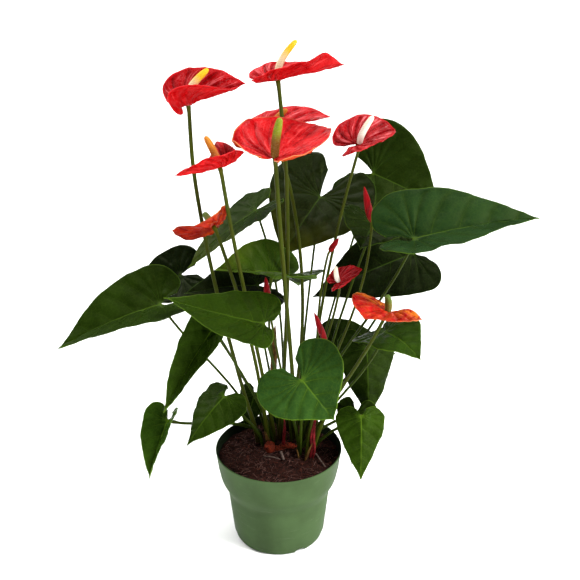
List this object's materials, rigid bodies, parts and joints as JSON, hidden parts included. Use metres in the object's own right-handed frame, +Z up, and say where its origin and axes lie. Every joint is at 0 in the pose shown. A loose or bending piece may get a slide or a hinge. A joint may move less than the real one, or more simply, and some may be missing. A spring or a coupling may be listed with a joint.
{
  "type": "potted flowering anthurium",
  "caption": "Flowering anthurium in a tapered nursery pot: heart-shaped leaves on long stalks, and waxy red spathes with upright spadices.",
  "frame": {"origin": "centre of the pot's flat underside, on the surface that the pot stands on", "axes": "+Z up along the pot's axis; -Y is the front, from which the picture is taken; +X is the picture's right"},
  "size_m": [0.5601, 0.3894, 0.6479],
  "materials": {
    "pot": "satin",
    "soil": "matte",
    "rhizome": "matte",
    "leaf_green": "satin",
    "leaf_dark": "satin",
    "flower_stalk": "satin",
    "spathe_red": "gloss",
    "spathe_coral": "gloss",
    "spathe_orange": "gloss",
    "bud_red": "satin",
    "spadix_yellow": "matte",
    "spadix_orange": "matte",
    "spadix_green": "matte",
    "spadix_cream": "matte"
  },
  "bodies": {
    "root": {"bloom_centre_behind_spadix": "spadix_orange", "bloom_centre_behind_spathe": "spathe_red", "bloom_centre_behind_stalk": "flower_stalk", "bloom_centre_spadix": "spadix_green", "bloom_centre_spathe": "spathe_coral", "bloom_centre_stalk": "flower_stalk", "bloom_left_low_spadix": "spadix_green", "bloom_left_low_spathe": "spathe_orange", "bloom_left_low_stalk": "flower_stalk", "bloom_left_spadix": "spadix_orange", "bloom_left_spathe": "spathe_red", "bloom_left_stalk": "flower_stalk", "bloom_right_low_spadix": "spadix_green", "bloom_right_low_spathe": "spathe_orange", "bloom_right_low_stalk": "flower_stalk", "bloom_right_spadix": "spadix_cream", "bloom_right_spathe": "spathe_red", "bloom_right_stalk": "flower_stalk", "bloom_small_spadix": "spadix_cream", "bloom_small_spathe": "spathe_red", "bloom_small_stalk": "flower_stalk", "bloom_top_left_spadix": "spadix_yellow", "bloom_top_left_spathe": "spathe_red", "bloom_top_left_stalk": "flower_stalk", "bloom_top_spadix": "spadix_yellow", "bloom_top_spathe": "spathe_red", "bloom_top_stalk": "flower_stalk", "bud_front": "bud_red", "bud_front_stalk": "flower_stalk", "bud_left": "bud_red", "bud_left_stalk": "flower_stalk", "bud_middle": "bud_red", "bud_middle_stalk": "flower_stalk", "bud_upper_right": "bud_red", "bud_upper_right_stalk": "flower_stalk", "leaf_back": "leaf_dark", "leaf_far_left": "leaf_green", "leaf_front_heart": "leaf_green", "leaf_left_behind": "leaf_dark", "leaf_left_front": "leaf_green", "leaf_left_hanging": "leaf_green", "leaf_left_inner": "leaf_dark", "leaf_left_low": "leaf_green", "leaf_left_small": "leaf_dark", "leaf_middle_dark": "leaf_dark", "leaf_middle_level": "leaf_green", "leaf_right_dark": "leaf_dark", "leaf_right_drooping": "leaf_green", "leaf_right_hanging": "leaf_green", "leaf_right_inner": "leaf_green", "leaf_right_large": "leaf_green", "leaf_right_low_back": "leaf_dark", "leaf_right_shaded": "leaf_dark", "leaf_right_tip": "leaf_green", "leaf_upper_left": "leaf_green", "leaf_upper_middle": "leaf_green", "leaf_upper_right": "leaf_green", "pot": "pot", "rhizome": "rhizome", "soil": "soil"}
  },
  "joints": []
}
